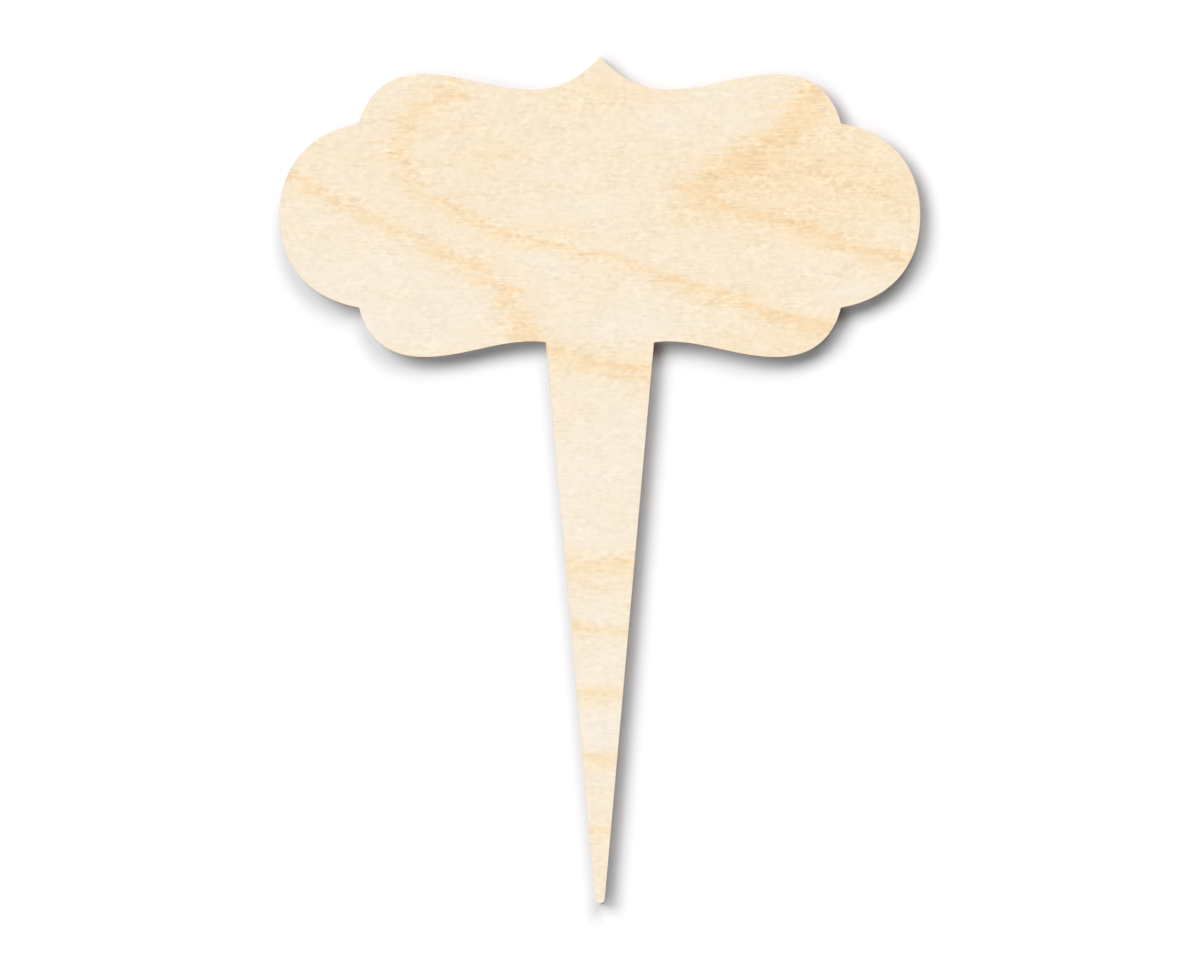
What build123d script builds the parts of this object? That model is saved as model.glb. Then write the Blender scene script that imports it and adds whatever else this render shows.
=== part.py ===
from build123d import *
from math import asin, atan2, degrees, hypot
import os

# Plant label stake, cut in one outline through five-ply birch board: a lobed plaque to write on
# and, below it, a tapering stake to push into the soil. Sizes are in millimetres.
# The origin is the tip of the stake, half way through the board. +Z runs up the stake and the
# written face looks towards -Y.

# Board: the grain of the face veneers and of the core runs across the stake, and the grain of the
# two crossbands runs along it, so that the narrow stake doesn't snap
veneer_thickness = 1.0
crossband_thickness = 1.2
core_thickness = 1.2
glue_thickness = 0.1

# Blank: overall height, from the stake's tip to the point on top of the plaque
overall_height = 203.2

# Plaque: each span is measured right across it, and each height from its lower edge to its upper
plaque_width = 153.7
notch_span = 115.6
notch_height = 44.2
crest_span = 84.6
crest_height = 67.9
dip_span = 31.9
dip_height = 60.4
point_rise = 8.0

# Plaque: slopes of its edge, in degrees, where two curves meet in a corner
point_slope = 48
crest_end_slope = 76
lobe_start_slope = 10

# Plaque: how far each curve runs straight on from its ends, as a share of the distance between them
slack_curve_share = 0.36
round_curve_share = 0.415

# Stake: width where it leaves the plaque, and radius of its tip
stake_root_width = 26.0
stake_tip_radius = 1.2

# Heights that follow: the stake's root lies level with the dips in the plaque's lower edge
plaque_centre_height = overall_height - point_rise - dip_height / 2
stake_root_height = plaque_centre_height - dip_height / 2


def smooth_curve(start, start_slope, end, end_slope, share):
    """Control points of a curve that leaves start and reaches end at these slopes below level."""
    handle = (end - start).length * share
    leaving = Vector(handle, 0).rotate(Axis.Z, -start_slope)
    arriving = Vector(handle, 0).rotate(Axis.Z, -end_slope)
    return start, start + leaving, end - arriving, end


# Plaque outline, about its own centre: one quarter from the point round to the widest place, then
# mirrored downwards and sideways
point = Vector(0, dip_height / 2 + point_rise)
dip = Vector(dip_span / 2, dip_height / 2)
crest = Vector(crest_span / 2, crest_height / 2)
notch = Vector(notch_span / 2, notch_height / 2)
side = Vector(plaque_width / 2, 0)

with BuildSketch() as plaque:
    with BuildLine():
        Bezier(*smooth_curve(point, point_slope, dip, 0, slack_curve_share))
        Bezier(*smooth_curve(dip, 0, crest, 0, slack_curve_share))
        Bezier(*smooth_curve(crest, 0, notch, crest_end_slope, round_curve_share))
        Bezier(*smooth_curve(notch, lobe_start_slope, side, 90, round_curve_share))
        mirror(about=Plane.XZ)
        mirror(about=Plane.YZ)
    make_face()

# Stake outline: straight sides that run down from the root and touch the round of the tip
tip_to_root = hypot(stake_root_width / 2, stake_root_height - stake_tip_radius)
root_bearing = degrees(atan2(stake_root_width / 2, stake_root_height - stake_tip_radius))
side_taper = root_bearing - degrees(asin(stake_tip_radius / tip_to_root))

with BuildSketch() as stake:
    with BuildLine():
        tip = JernArc((0, 0), (1, 0), stake_tip_radius, 90 - side_taper)
        stake_side = Line(tip @ 1, (stake_root_width / 2, stake_root_height))
        Line(stake_side @ 1, (0, stake_root_height))
        mirror(about=Plane.YZ)
    make_face()

# Blank: the plaque stands over the stake, whose root takes up the lower of its two points
with BuildSketch() as blank:
    add(stake.sketch)
    with Locations((0, plaque_centre_height)):
        add(plaque.sketch)

# Layers of the board from its back to its front, each cut through to the same outline and lying
# face to face with the next
layers = [
    ("back_veneer", veneer_thickness),
    ("back_veneer_glue", glue_thickness),
    ("back_crossband", crossband_thickness),
    ("back_core_glue", glue_thickness),
    ("core", core_thickness),
    ("front_core_glue", glue_thickness),
    ("front_crossband", crossband_thickness),
    ("front_veneer_glue", glue_thickness),
    ("front_veneer", veneer_thickness),
]
board_thickness = sum(thickness for name, thickness in layers)

os.makedirs("parts", exist_ok=True)
layer_back = -board_thickness / 2
for name, thickness in layers:
    with BuildPart() as layer:
        with BuildSketch(Plane.XZ.offset(layer_back)):
            add(blank.sketch)
        extrude(amount=thickness)
    layer.part.label = name
    export_step(layer.part, f"parts/{name}.step")
    layer_back += thickness
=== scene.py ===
import bmesh
import bpy
from math import radians
from mathutils import Color, Matrix, Vector


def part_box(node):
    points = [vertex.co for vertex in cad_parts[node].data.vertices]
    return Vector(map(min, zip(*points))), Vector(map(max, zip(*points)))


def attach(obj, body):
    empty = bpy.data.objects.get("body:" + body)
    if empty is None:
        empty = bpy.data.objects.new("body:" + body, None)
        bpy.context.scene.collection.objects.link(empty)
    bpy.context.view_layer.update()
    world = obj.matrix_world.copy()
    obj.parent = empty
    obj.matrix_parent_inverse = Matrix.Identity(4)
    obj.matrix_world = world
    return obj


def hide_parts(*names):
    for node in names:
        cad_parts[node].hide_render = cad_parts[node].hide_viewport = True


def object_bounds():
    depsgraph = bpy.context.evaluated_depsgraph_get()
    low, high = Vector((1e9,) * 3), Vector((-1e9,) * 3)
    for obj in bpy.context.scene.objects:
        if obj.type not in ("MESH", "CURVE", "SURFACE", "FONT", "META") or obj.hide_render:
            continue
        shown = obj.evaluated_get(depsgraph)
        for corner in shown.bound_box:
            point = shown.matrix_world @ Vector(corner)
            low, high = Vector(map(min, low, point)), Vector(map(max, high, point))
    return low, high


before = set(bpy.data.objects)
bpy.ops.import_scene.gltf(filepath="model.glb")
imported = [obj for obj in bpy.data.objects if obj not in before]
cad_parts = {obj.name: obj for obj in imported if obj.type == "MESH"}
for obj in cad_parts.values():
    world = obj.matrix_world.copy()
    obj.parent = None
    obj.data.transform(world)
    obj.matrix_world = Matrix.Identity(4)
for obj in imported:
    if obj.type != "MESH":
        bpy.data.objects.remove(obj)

cad_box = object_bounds()

# Core: the middle ply of the board, a sheet of birch whose grain runs across the stake. The five
# plies were pressed into one board and then cut through together by a hot beam, so they share one
# outline, and each cut edge is toasted brown and a little hollow between its glue lines.
MM = 0.001
merge_distance = 0.001 * MM
square_on = 0.9
corner_turn = radians(30)
longest_chord = 10 * MM
cuts_in_chord = 2
arris_width = 0.12 * MM
arris_segments = 2
edge_lip = 0.14 * MM
edge_hollow = 0.05 * MM
FACE, EDGE = 0, 1


def keep_front_face(ply):
    """Leaves the front face alone, as one face whose rim is the cut outline."""
    bmesh.ops.remove_doubles(ply, verts=ply.verts, dist=merge_distance)
    ply.normal_update()
    rest = [face for face in ply.faces if face.normal.y > -square_on]
    bmesh.ops.delete(ply, geom=rest, context="FACES")
    bmesh.ops.dissolve_faces(ply, faces=ply.faces[:])


def draw_back(ply, thickness):
    """Draws the outline back through the ply, which leaves its cut edge as an open ring."""
    drawn = bmesh.ops.extrude_face_region(ply, geom=ply.faces[:])
    back_rim = [item for item in drawn["geom"] if isinstance(item, bmesh.types.BMVert)]
    bmesh.ops.translate(ply, verts=back_rim, vec=(0, thickness, 0))
    ply.normal_update()
    front_and_back = [face for face in ply.faces if abs(face.normal.y) > square_on]
    bmesh.ops.delete(ply, geom=front_and_back, context="FACES_ONLY")


def round_outline(ply):
    """Curves the outline between its points, up to each corner and never across it."""
    corners = [edge for edge in ply.edges if edge.calc_face_angle(0) > corner_turn]
    bmesh.ops.split_edges(ply, edges=corners)
    ply.normal_update()
    chords = []
    for edge in ply.edges:
        level = abs(edge.verts[0].co.y - edge.verts[1].co.y) < merge_distance
        if level and edge.calc_length() < longest_chord:
            chords.append(edge)
    bmesh.ops.subdivide_edges(
        ply, edges=chords, cuts=cuts_in_chord, smooth=1, smooth_falloff="LINEAR", use_grid_fill=True
    )
    bmesh.ops.remove_doubles(ply, verts=ply.verts, dist=merge_distance)


def ease_arris(ply, rims, arris_y, arris_finish):
    """Takes the sharpness off the rim of the board's outer face, as sanding does."""
    arris = [edge for edge in rims if abs(edge.verts[0].co.y - arris_y) < merge_distance]
    eased = bmesh.ops.bevel(
        ply, geom=arris, offset=arris_width, offset_type="OFFSET", segments=arris_segments,
        profile=0.5, affect="EDGES", material=-1,
    )
    for face in eased["faces"]:
        face.material_index = arris_finish


def cut_ply(node, arris_y=None, arris_finish=FACE):
    """One ply, closed, with the CAD node's outline and thickness."""
    low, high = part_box(node)
    ply = bmesh.new()
    ply.from_mesh(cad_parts[node].data)
    keep_front_face(ply)
    draw_back(ply, high.y - low.y)
    round_outline(ply)
    for face in ply.faces:
        face.material_index = EDGE
    rims = [edge for edge in ply.edges if edge.is_boundary]
    flats = bmesh.ops.holes_fill(ply, edges=rims)["faces"]
    for face in flats:
        face.material_index = FACE
    bmesh.ops.recalc_face_normals(ply, faces=ply.faces[:])
    if arris_y is not None:
        ease_arris(ply, rims, arris_y, arris_finish)
    bmesh.ops.inset_region(
        ply, faces=[face for face in ply.faces if face.material_index == EDGE],
        thickness=edge_lip, depth=-edge_hollow, use_even_offset=True,
    )
    ply.normal_update()
    for face in ply.faces:
        face.smooth = abs(face.normal.y) < square_on
    for edge in ply.edges:
        edge.smooth = edge.calc_face_angle(0) < corner_turn
    return ply


def add_piece(name, shape, node, materials):
    """Puts a finished shape on the part, in place of its CAD node."""
    mesh = bpy.data.meshes.new(name)
    shape.to_mesh(mesh)
    shape.free()
    for material in materials:
        mesh.materials.append(material)
    piece = bpy.data.objects.new(name, mesh)
    bpy.context.scene.collection.objects.link(piece)
    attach(piece, "root")
    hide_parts(node)


def tone(red, green, blue):
    """A colour as the eye sees it, from 0 to 255, turned into the linear light of shaders."""
    seen = Color((red / 255, green / 255, blue / 255))
    return (*seen.from_srgb_to_scene_linear(), 1)


def new_finish(name):
    """A material, its node tree and its surface shader."""
    material = bpy.data.materials.new(name)
    material.use_nodes = True
    tree = material.node_tree
    return material, tree, tree.nodes["Principled BSDF"]


def feed(tree, socket, value):
    """Joins a socket to another node's output, or sets it to a plain value."""
    if isinstance(value, bpy.types.NodeSocket):
        tree.links.new(value, socket)
    else:
        socket.default_value = value


def calc(tree, operation, *values):
    """One step of arithmetic."""
    node = tree.nodes.new("ShaderNodeMath")
    node.operation = operation
    for socket, value in zip(node.inputs, values):
        feed(tree, socket, value)
    return node.outputs[0]


def total(tree, values):
    """All of these values added up."""
    result = values[0]
    for value in values[1:]:
        result = calc(tree, "ADD", result, value)
    return result


def largest(tree, values):
    """The largest of these values."""
    result = values[0]
    for value in values[1:]:
        result = calc(tree, "MAXIMUM", result, value)
    return result


def move(tree, operation, *values):
    """One step of vector arithmetic that gives a vector."""
    node = tree.nodes.new("ShaderNodeVectorMath")
    node.operation = operation
    for socket, value in zip(node.inputs, values):
        feed(tree, socket, value)
    return node.outputs["Vector"]


def measure(tree, operation, *values):
    """One step of vector arithmetic that gives a number."""
    node = tree.nodes.new("ShaderNodeVectorMath")
    node.operation = operation
    for socket, value in zip(node.inputs, values):
        feed(tree, socket, value)
    return node.outputs["Value"]


def scaled(tree, vector, factor):
    """A vector or a colour times a number."""
    node = tree.nodes.new("ShaderNodeVectorMath")
    node.operation = "SCALE"
    feed(tree, node.inputs[0], vector)
    feed(tree, node.inputs["Scale"], factor)
    return node.outputs["Vector"]


def parts_of(tree, vector):
    """The X, Y and Z of a vector."""
    node = tree.nodes.new("ShaderNodeSeparateXYZ")
    tree.links.new(vector, node.inputs[0])
    return node.outputs


def ease(tree, value, start, end, first=0.0, last=1.0):
    """Goes smoothly from first to last while the value goes from start to end."""
    node = tree.nodes.new("ShaderNodeMapRange")
    node.interpolation_type = "SMOOTHSTEP"
    feed(tree, node.inputs["Value"], value)
    node.inputs["From Min"].default_value = start
    node.inputs["From Max"].default_value = end
    node.inputs["To Min"].default_value = first
    node.inputs["To Max"].default_value = last
    return node.outputs["Result"]


def blend(tree, share, first, second):
    """A colour that goes from the first to the second while the share goes from 0 to 1."""
    node = tree.nodes.new("ShaderNodeMixRGB")
    feed(tree, node.inputs["Fac"], share)
    feed(tree, node.inputs["Color1"], first)
    feed(tree, node.inputs["Color2"], second)
    return node.outputs["Color"]


def place_in_mm(tree):
    """Where a point of the piece is, in millimetres from the tip of the stake."""
    coordinates = tree.nodes.new("ShaderNodeTexCoord")
    return scaled(tree, coordinates.outputs["Object"], 1 / MM)


def noise(tree, place, lengths, detail, start=(0, 0, 0), roughness=0.5):
    """Noise about 0.5, in patches of about these lengths along X, Y and Z."""
    stretch = tree.nodes.new("ShaderNodeMapping")
    stretch.inputs["Location"].default_value = start
    stretch.inputs["Scale"].default_value = [1 / length for length in lengths]
    tree.links.new(place, stretch.inputs["Vector"])
    node = tree.nodes.new("ShaderNodeTexNoise")
    node.inputs["Scale"].default_value = 1
    node.inputs["Detail"].default_value = detail
    node.inputs["Roughness"].default_value = roughness
    tree.links.new(stretch.outputs["Vector"], node.inputs["Vector"])
    return node.outputs["Fac"]


def swing(tree, value, amount):
    """A noise value made to swing either side of 0, by at most half this amount."""
    return calc(tree, "MULTIPLY", calc(tree, "SUBTRACT", value, 0.5), amount)


def relief(tree, shader, height, depth):
    """Lets a height from 0 to 1 raise the surface by up to this depth."""
    bump = tree.nodes.new("ShaderNodeBump")
    bump.inputs["Strength"].default_value = 1
    bump.inputs["Distance"].default_value = depth
    tree.links.new(height, bump.inputs["Height"])
    tree.links.new(bump.outputs["Normal"], shader.inputs["Normal"])


ALONG_X, ALONG_Z = 0, 2
wood_shine = 0.2
edge_pale = tone(206, 164, 116)
edge_tan = tone(164, 117, 74)
edge_brown = tone(112, 74, 45)
edge_char = tone(62, 40, 26)
edge_relief = 0.03 * MM

# Marks on a cut edge: their lengths in millimetres, then how much each of them adds to the burn
fibre_width = 0.12
fibre_length = 3
burnt_patch = (9, 40, 9)
beam_mark = (0.22, 9, 0.22)
end_grain_burn = 0.42
glue_burn = 0.38
patch_burn = 1.1
fibre_burn = 0.55
beam_mark_burn = 0.35


def toasted_edge(node, grain, toast):
    """The cut edge of one ply: pale side grain, darker end grain, darkest at its glue lines."""
    material, tree, shader = new_finish(f"{node} cut edge")
    place = place_in_mm(tree)
    surface = tree.nodes.new("ShaderNodeNewGeometry")
    facing = calc(tree, "ABSOLUTE", parts_of(tree, surface.outputs["True Normal"])[grain])
    end_grain = ease(tree, facing, 0.35, 0.95)
    fibre_lengths = [fibre_width] * 3
    fibre_lengths[grain] = fibre_length
    fibres = noise(tree, place, fibre_lengths, 3, roughness=0.6)
    patches = noise(tree, place, burnt_patch, 2, (4.3, 1.7, 8.1))
    beam_marks = noise(tree, place, beam_mark, 1, (1.1, 5.2, 2.4))
    low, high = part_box(node)
    middle = (low.y + high.y) / 2 / MM
    half_thickness = (high.y - low.y) / 2 / MM
    off_middle = calc(tree, "ABSOLUTE", calc(tree, "SUBTRACT", parts_of(tree, place)[1], middle))
    by_the_glue = ease(tree, off_middle, 0.45 * half_thickness, half_thickness)
    burn = total(tree, [
        calc(tree, "MULTIPLY_ADD", end_grain, end_grain_burn, toast),
        calc(tree, "MULTIPLY", by_the_glue, glue_burn),
        swing(tree, patches, patch_burn),
        swing(tree, fibres, fibre_burn),
        swing(tree, beam_marks, beam_mark_burn),
    ])
    light = blend(tree, ease(tree, burn, 0.0, 0.5), edge_pale, edge_tan)
    dark = blend(tree, ease(tree, burn, 0.8, 1.3), edge_brown, edge_char)
    colour = blend(tree, ease(tree, burn, 0.35, 0.95), light, dark)
    tree.links.new(colour, shader.inputs["Base Color"])
    tree.links.new(ease(tree, burn, 0.2, 1.2, 0.78, 0.6), shader.inputs["Roughness"])
    shader.inputs["Specular IOR Level"].default_value = wood_shine
    height = total(tree, [swing(tree, beam_marks, 0.6), swing(tree, fibres, 0.4)])
    relief(tree, shader, height, edge_relief)
    return material


inner_pale = tone(232, 205, 165)
inner_dark = tone(214, 181, 136)


def bare_birch():
    """The faces of an inner ply, plain birch that the glue hides."""
    material, tree, shader = new_finish("inner birch")
    fibres = noise(tree, place_in_mm(tree), (6, 1, 0.5), 3, roughness=0.6)
    tree.links.new(blend(tree, fibres, inner_pale, inner_dark), shader.inputs["Base Color"])
    shader.inputs["Roughness"].default_value = 0.7
    return material


inner_birch = bare_birch()
core_edge = toasted_edge("core", ALONG_X, 0.42)
add_piece("core_ply", cut_ply("core"), "core", [inner_birch, core_edge])

# Crossbands: the plies on either side of the core, with their grain along the stake, which keeps
# its narrow tip from snapping across.
for node, toast in (("front_crossband", 0.32), ("back_crossband", 0.44)):
    crossband_edge = toasted_edge(node, ALONG_Z, toast)
    add_piece(f"{node}_ply", cut_ply(node), node, [inner_birch, crossband_edge])

# Glue films: four thin films of cured brown resin between the plies. The cut scorched them
# darkest of all, so they show as near-black lines round the edge.
glue_char = tone(48, 29, 18)
glue_brown = tone(92, 60, 37)
ash_crumb = (0.3, 0.3, 0.3)
ash_relief = 0.02 * MM


def scorched_glue():
    """Cured resin, charred where it was cut, with crumbs of ash."""
    material, tree, shader = new_finish("scorched glue line")
    place = place_in_mm(tree)
    crumbs = noise(tree, place, ash_crumb, 3, roughness=0.6)
    patches = noise(tree, place, (7, 20, 7), 2, (3.1, 0.4, 6.6))
    char = calc(tree, "MULTIPLY", calc(tree, "ADD", crumbs, patches), 0.5)
    colour = blend(tree, ease(tree, char, 0.35, 0.65), glue_char, glue_brown)
    tree.links.new(colour, shader.inputs["Base Color"])
    tree.links.new(ease(tree, crumbs, 0.3, 0.7, 0.38, 0.6), shader.inputs["Roughness"])
    relief(tree, shader, crumbs, ash_relief)
    return material


glue_line = scorched_glue()
for node in ("front_core_glue", "back_core_glue", "front_veneer_glue", "back_veneer_glue"):
    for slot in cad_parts[node].material_slots:
        slot.material = glue_line

# Written face: the front veneer, peeled birch sanded smooth, whose fine grain runs across the
# stake. A few warm growth bands cross it, and its outer arris is eased by the sanding.


def run_gap_group():
    """The gap between a place and one straight run from a start to an end."""
    group = bpy.data.node_groups.new("gap to a straight run", "ShaderNodeTree")
    for name in ("Place", "Start", "End"):
        group.interface.new_socket(name, in_out="INPUT", socket_type="NodeSocketVector")
    group.interface.new_socket("Gap", in_out="OUTPUT", socket_type="NodeSocketFloat")
    place, start, end = group.nodes.new("NodeGroupInput").outputs[:3]
    from_start = move(group, "SUBTRACT", place, start)
    run = move(group, "SUBTRACT", end, start)
    share = calc(
        group, "DIVIDE", measure(group, "DOT_PRODUCT", from_start, run),
        measure(group, "DOT_PRODUCT", run, run),
    )
    share = calc(group, "MINIMUM", calc(group, "MAXIMUM", share, 0), 1)
    gap = measure(group, "DISTANCE", from_start, scaled(group, run, share))
    group.links.new(gap, group.nodes.new("NodeGroupOutput").inputs["Gap"])
    return group


run_gap = run_gap_group()


def gap_to_line(tree, place, points):
    """The gap in millimetres between a place and a line drawn through these X and Z points."""
    gap = None
    for (start_x, start_z), (end_x, end_z) in zip(points, points[1:]):
        run = tree.nodes.new("ShaderNodeGroup")
        run.node_tree = run_gap
        tree.links.new(place, run.inputs["Place"])
        run.inputs["Start"].default_value = (start_x, 0, start_z)
        run.inputs["End"].default_value = (end_x, 0, end_z)
        here = run.outputs["Gap"]
        gap = here if gap is None else calc(tree, "MINIMUM", gap, here)
    return gap


def fade(tree, gap, reach, strength):
    """Full strength where the gap is nothing, down to a third of it at this reach."""
    share = calc(tree, "DIVIDE", gap, reach)
    squared = calc(tree, "MULTIPLY", share, share)
    return calc(tree, "MULTIPLY", calc(tree, "EXPONENT", calc(tree, "MULTIPLY", squared, -1)), strength)


# How far the figure strays to and fro about its drawn lines, in millimetres
ragged_stray = 13
streaky_stray = 15
slow_stray = 3
wavy_stray = 2.4

# A growth band: how wide its line is beside its halo, how far the halo hangs below the line, in
# millimetres, and how strong each is
line_share = 0.36
halo_drop = (0, 0, 0.9)
line_strength = 0.5
halo_strength = 0.75

# How warm the plain wood is, how far its clouds and streaks swing from that, and how much of the
# warmest colour shows
plain_warmth = 0.29
cloud_swing = 0.4
streak_swing = 0.3
most_amber = 0.42

# The texture: how much each kind of mark lightens or darkens the wood, and how far it stands up
dash_swing = 0.22
fibre_swing = 0.13
mottle_swing = 0.04
pore_shade = -0.06
line_shade = -0.04
pore_height = -0.8
face_relief = 0.012 * MM


def face_birch(name, bands, patches, start, pale, golden, amber):
    """Peeled birch: growth bands and patches, warm or pale, under fibres, dashes and pores along X."""
    material, tree, shader = new_finish(name)
    place = place_in_mm(tree)

    # Fibres start and stop at different places along the grain, so the figure is ragged along X
    ragged = swing(tree, noise(tree, place, (6, 3, 0.75), 2, start, 0.6), ragged_stray)
    strayed = swing(tree, noise(tree, place, (30, 8, 1.9), 2, start, 0.6), streaky_stray)
    swayed = swing(tree, noise(tree, place, (40, 8, 26), 1, start), slow_stray)
    waved = swing(tree, noise(tree, place, (6, 8, 4), 2, start), wavy_stray)
    shift = tree.nodes.new("ShaderNodeCombineXYZ")
    tree.links.new(calc(tree, "ADD", ragged, strayed), shift.inputs["X"])
    tree.links.new(calc(tree, "ADD", swayed, waved), shift.inputs["Z"])
    figure_place = move(tree, "ADD", move(tree, "MULTIPLY", place, (1, 0, 1)), shift.outputs[0])
    halo_place = move(tree, "ADD", figure_place, halo_drop)

    # Each growth band is a narrow line of broken dashes, with a broader warm halo just below it
    broken = ease(tree, noise(tree, place, (4.2, 1, 0.6), 2, start, 0.55), 0.36, 0.62, 0.2, 1.4)
    lines = []
    halos = []
    for points, reach, strength in bands:
        line_gap = gap_to_line(tree, figure_place, points)
        halo_gap = gap_to_line(tree, halo_place, points)
        lines.append(fade(tree, line_gap, reach * line_share, strength * line_strength))
        halos.append(fade(tree, halo_gap, reach, strength * halo_strength))
    line = calc(tree, "MULTIPLY", largest(tree, lines), broken)
    broad = [largest(tree, halos)]
    for centre_x, centre_z, radius_x, radius_z, strength in patches:
        away = move(tree, "SUBTRACT", figure_place, (centre_x, 0, centre_z))
        away = move(tree, "DIVIDE", away, (radius_x, 1, radius_z))
        broad.append(fade(tree, measure(tree, "LENGTH", away), 1, strength))
    broad.append(swing(tree, noise(tree, place, (16, 8, 7), 2, start), cloud_swing))
    broad.append(swing(tree, noise(tree, place, (12, 3, 1.3), 2, start, 0.6), streak_swing))
    broad = calc(tree, "ADD", total(tree, broad), plain_warmth)

    # The texture comes and goes in patches, and the warmer the wood, the livelier it is
    lively = calc(
        tree, "MULTIPLY", ease(tree, broad, 0.0, 0.8, 0.68, 1.45),
        ease(tree, noise(tree, place, (9, 8, 4), 1, start), 0.3, 0.7, 0.55, 1.4),
    )
    dashes = noise(tree, place, (1.4, 1, 0.88), 1, start)
    fibres = noise(tree, place, (7, 2, 0.6), 2, start, 0.55)
    mottle = noise(tree, place, (3.6, 4, 5), 1, start)
    pores = ease(tree, noise(tree, place, (3.4, 1, 0.3), 1, start), 0.64, 0.74)
    texture = total(tree, [
        swing(tree, dashes, dash_swing),
        swing(tree, fibres, fibre_swing),
        swing(tree, mottle, mottle_swing),
        calc(tree, "MULTIPLY", pores, pore_shade),
    ])
    texture = calc(tree, "MULTIPLY", texture, lively)

    # Where the texture is darker, the wood is warmer too, and the warmest wood turns to amber
    warmth = total(tree, [broad, line, calc(tree, "MULTIPLY", texture, -1)])
    colour = blend(tree, warmth, pale, golden)
    colour = blend(tree, ease(tree, warmth, 0.35, 0.85, 0, most_amber), colour, amber)
    shade = calc(tree, "MULTIPLY_ADD", line, line_shade, calc(tree, "ADD", texture, 1))
    tree.links.new(scaled(tree, colour, shade), shader.inputs["Base Color"])

    tree.links.new(ease(tree, fibres, 0.3, 0.7, 0.60, 0.74), shader.inputs["Roughness"])
    shader.inputs["Specular IOR Level"].default_value = wood_shine
    height = total(tree, [dashes, fibres, calc(tree, "MULTIPLY", pores, pore_height)])
    relief(tree, shader, height, face_relief)
    return material


# Growth bands: points as X and Z, then reach, all in millimetres, then how warm
front_bands = [
    ([(-35, 196), (-43, 191.4), (-47.6, 186.6), (-48.8, 181), (-47.4, 176), (-44, 172)], 3.6, 0.30),
    ([(-45, 172.6), (-38, 168.6), (-25, 162.2), (-12, 157.8), (2.5, 154.4)], 2.2, 0.30),
    ([(2.5, 154.4), (14.5, 151.2), (26, 147), (41, 142.2), (55.5, 138)], 2.2, 0.35),
    ([(-74, 175.6), (-67, 170.6), (-59.8, 166.4), (-52, 163), (-44, 159.8)], 2.6, 0.32),
    ([(-44, 159.8), (-35.9, 155.4), (-27.5, 151.8), (-22.5, 146)], 2.8, 0.34),
    ([(-22.5, 146), (-20.5, 141), (-16, 136.2)], 4.2, 0.36),
    ([(-16, 136), (-10.5, 133.6), (-2, 130.2), (13, 128.4)], 3.0, 0.38),
    ([(53, 196), (47, 188.4), (42, 183), (36, 178.4), (31, 175.6)], 4.5, 0.38),
    ([(31, 175.6), (25, 173.6), (22.6, 171.2), (26.4, 168.6)], 4.6, 0.36),
    ([(26.4, 168.6), (36, 165.8), (45.7, 163.4), (54, 160.4), (63, 157.2), (77, 155.2)], 2.2, 0.38),
    ([(-11, 82.2), (-3, 80.4), (11, 82.4)], 4.0, 0.36),
    ([(-10, 67.6), (0, 66.4), (10, 65.6)], 2.3, 0.38),
    ([(-8, 50.2), (0, 50.8), (8, 51)], 2.6, 0.30),
    ([(-8, 35), (0, 34.8), (8, 34)], 3.0, 0.26),
    ([(-6, 18.6), (0, 17.8), (6, 18.2)], 2.2, 0.28),
]

# Broader patches: centre and radii along X and Z, then how warm, or how pale where below 0
front_patches = [
    (50, 174, 26, 13, 0.26),
    (70, 168, 14, 16, 0.06),
    (0, 194, 14, 7, 0.12),
    (25, 188, 12, 7, -0.14),
    (-31, 184, 16, 10, 0.09),
    (43, 135, 18, 6, 0.14),
    (-60, 148, 22, 14, -0.16),
    (-40, 138, 18, 10, -0.12),
    (-12, 154, 9, 2.4, -0.12),
    (10, 141, 14, 6, -0.14),
    (62, 148, 12, 6, -0.10),
    (0, 104, 20, 20, -0.18),
    (0, 50, 12, 40, -0.16),
    (0, 42.6, 10, 4, -0.16),
]

written_birch = face_birch(
    "written face birch", front_bands, front_patches, (2.2, 0.4, 7.7),
    tone(249, 238, 222), tone(250, 221, 163), tone(249, 212, 179),
)
front_edge = toasted_edge("front_veneer", ALONG_X, 0.36)
front_shape = cut_ply("front_veneer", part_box("front_veneer")[0].y)
add_piece("written_face_veneer", front_shape, "front_veneer", [written_birch, front_edge])

# Back face: the veneer on the other side, from another sheet of peeled birch, with a broader
# figure of its own. The beam left by this side, so its edge and its arris are toasted more.
back_bands = [
    ([(-78, 149), (-52, 152), (-25, 160), (5, 163.5), (30, 159), (55, 150), (78, 147)], 2.8, 0.36),
    ([(-34, 200), (-20, 188), (0, 181.5), (24, 184), (46, 192)], 4.0, 0.34),
    ([(-52, 137), (-24, 143), (0, 146), (22, 142), (48, 134)], 2.6, 0.36),
    ([(-13, 119), (0, 116.6), (13, 118)], 2.6, 0.34),
    ([(-11, 92), (0, 94), (11, 92.6)], 3.6, 0.32),
    ([(-9, 70), (0, 68.6), (9, 69)], 2.4, 0.36),
    ([(-8, 43), (0, 44.2), (8, 44)], 3.0, 0.32),
    ([(-6, 24), (0, 23), (6, 23.6)], 2.2, 0.32),
]
back_patches = [
    (4, 176, 34, 12, 0.16),
    (-58, 170, 20, 14, -0.12),
    (58, 164, 18, 16, 0.10),
    (20, 150, 30, 6, -0.10),
    (0, 56, 16, 22, -0.10),
]
back_birch = face_birch(
    "back face birch", back_bands, back_patches, (9.4, 3.4, 1.9),
    tone(248, 236, 218), tone(248, 217, 157), tone(247, 208, 172),
)
back_edge = toasted_edge("back_veneer", ALONG_X, 0.54)
back_shape = cut_ply("back_veneer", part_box("back_veneer")[1].y, EDGE)
add_piece("back_face_veneer", back_shape, "back_veneer", [back_birch, back_edge])

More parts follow.
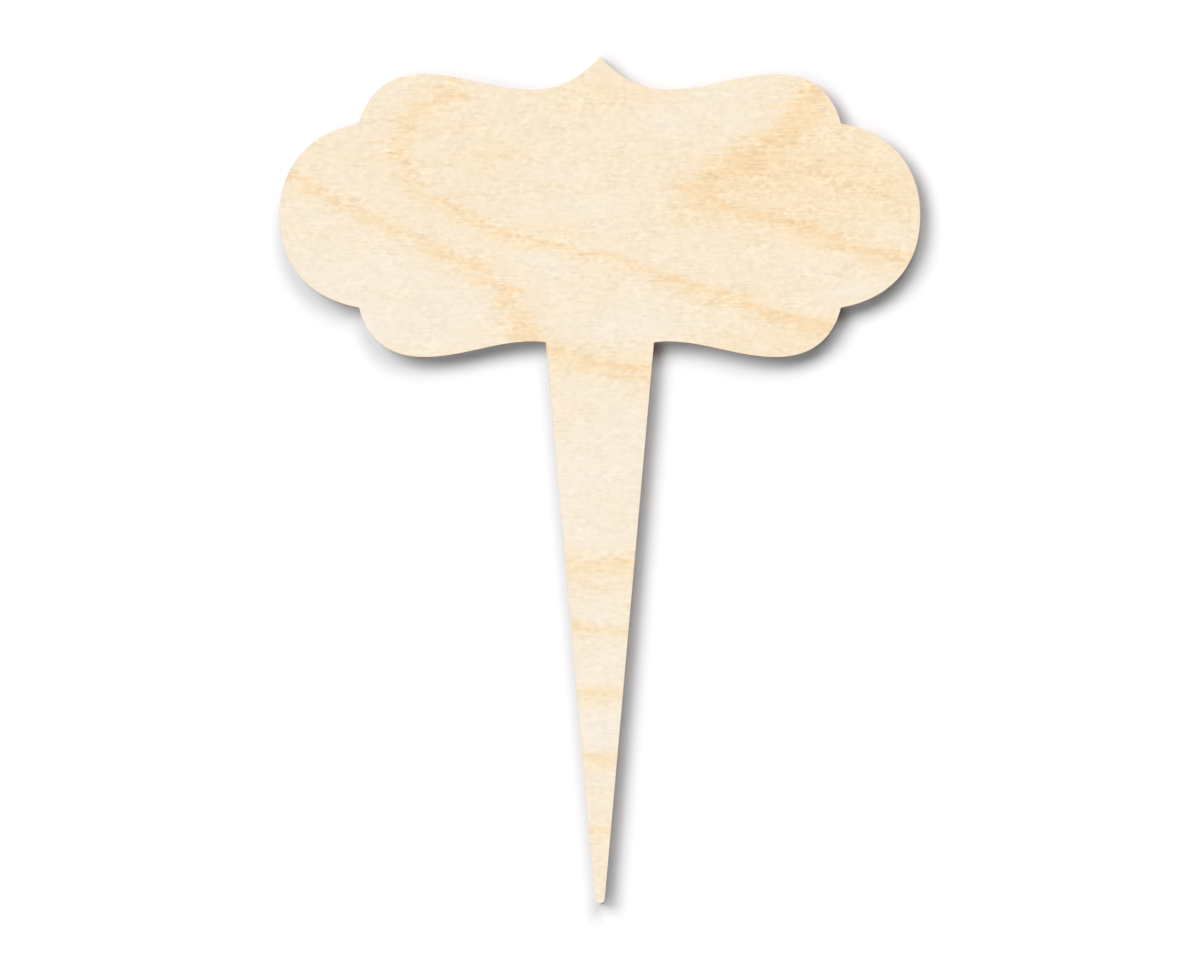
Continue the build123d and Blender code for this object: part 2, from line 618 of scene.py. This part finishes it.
# Studio: a white floor card just below the tip and a white wall card right behind the stake,
# which takes its soft shadow. The wall shows from its front only, so that the back can be seen.
card_size = 6
floor_drop = 15 * MM
wall_gap = 0.1 * MM
floor_glow = (0.35, 0.35, 0.35, 1)
wall_glow = (0.012, 0.02, 0.028, 1)


def white_paper(name, glow):
    """Matt white, seen with a little light of its own, cool on the wall and white on the floor."""
    material = bpy.data.materials.new(name)
    material.use_nodes = True
    tree = material.node_tree
    tree.nodes.clear()
    paper = tree.nodes.new("ShaderNodeBsdfDiffuse")
    paper.inputs["Color"].default_value = (1, 1, 1, 1)
    own_light = tree.nodes.new("ShaderNodeEmission")
    own_light.inputs["Color"].default_value = glow
    light_path = tree.nodes.new("ShaderNodeLightPath")
    tree.links.new(light_path.outputs["Is Camera Ray"], own_light.inputs["Strength"])
    lit_paper = tree.nodes.new("ShaderNodeAddShader")
    tree.links.new(paper.outputs[0], lit_paper.inputs[0])
    tree.links.new(own_light.outputs[0], lit_paper.inputs[1])
    side = tree.nodes.new("ShaderNodeNewGeometry")
    clear = tree.nodes.new("ShaderNodeBsdfTransparent")
    one_sided = tree.nodes.new("ShaderNodeMixShader")
    tree.links.new(side.outputs["Backfacing"], one_sided.inputs[0])
    tree.links.new(lit_paper.outputs[0], one_sided.inputs[1])
    tree.links.new(clear.outputs[0], one_sided.inputs[2])
    outlet = tree.nodes.new("ShaderNodeOutputMaterial")
    tree.links.new(one_sided.outputs[0], outlet.inputs["Surface"])
    return material


def add_card(name, turn, centre, material):
    """A flat square card that only the camera sees, so that it throws no light or shade."""
    card = bmesh.new()
    bmesh.ops.create_grid(card, x_segments=1, y_segments=1, size=card_size / 2)
    bmesh.ops.rotate(card, verts=card.verts, matrix=turn)
    bmesh.ops.translate(card, verts=card.verts, vec=centre)
    mesh = bpy.data.meshes.new(name)
    card.to_mesh(mesh)
    card.free()
    mesh.materials.append(material)
    stand = bpy.data.objects.new(name, mesh)
    stand.visible_diffuse = False
    stand.visible_glossy = False
    stand.visible_transmission = False
    stand.visible_shadow = False
    bpy.context.scene.collection.objects.link(stand)


lying = Matrix.Identity(3)
upright = Matrix.Rotation(radians(90), 3, "X")
board_front, board_back = cad_box[0][1], cad_box[1][1]
add_card("floor", lying, (0, 0, -floor_drop), white_paper("floor paper", floor_glow))
add_card("wall", upright, (0, board_back + wall_gap, 0), white_paper("wall paper", wall_glow))

# Lamps: three broad soft ones in front of the written face, the main one from the upper left, one
# from above and a weak one from below, with one from behind for the back, in a dim white room.
scene = bpy.context.scene
room_light = 0.02
lamp_spread = radians(32)
room = bpy.data.worlds.new("room")
room.use_nodes = True
tree = room.node_tree
light_path = tree.nodes.new("ShaderNodeLightPath")
looked_at = largest(tree, [
    light_path.outputs["Is Camera Ray"],
    light_path.outputs["Is Glossy Ray"],
    light_path.outputs["Is Transmission Ray"],
])
background = tree.nodes["Background"]
background.inputs["Color"].default_value = (1, 1, 1, 1)
tree.links.new(
    calc(tree, "MULTIPLY_ADD", looked_at, 1 - room_light, room_light), background.inputs["Strength"]
)
scene.world = room


def add_lamp(name, towards, strength, has_shadow=True):
    """A soft lamp far off on the side that this direction points to."""
    lamp = bpy.data.lights.new(name, "SUN")
    lamp.energy = strength
    lamp.angle = lamp_spread
    lamp.use_shadow = has_shadow
    stand = bpy.data.objects.new(name, lamp)
    stand.rotation_euler = Vector(towards).to_track_quat("Z", "Y").to_euler()
    scene.collection.objects.link(stand)


add_lamp("left lamp", (-0.55, -1, 0.39), 1.95)
add_lamp("top lamp", (0.15, -1, 0.71), 1.15)
add_lamp("low lamp", (-0.35, -1, -0.24), 0.55)
add_lamp("back lamp", (0.4, 1, 0.25), 3.2, has_shadow=False)

# Camera: square on to the written face, as far off as takes in the photograph's frame
frame_width = 287.8 * MM
frame_middle_height = 101.6 * MM
camera = bpy.data.cameras.new("camera")
camera.lens = 300
camera.sensor_width = 36
distance = frame_width * camera.lens / camera.sensor_width
camera_stand = bpy.data.objects.new("camera", camera)
camera_stand.location = (0, board_front - distance, frame_middle_height)
camera_stand.rotation_euler = (radians(90), 0, 0)
scene.collection.objects.link(camera_stand)
scene.camera = camera_stand
scene.view_settings.view_transform = "Standard"
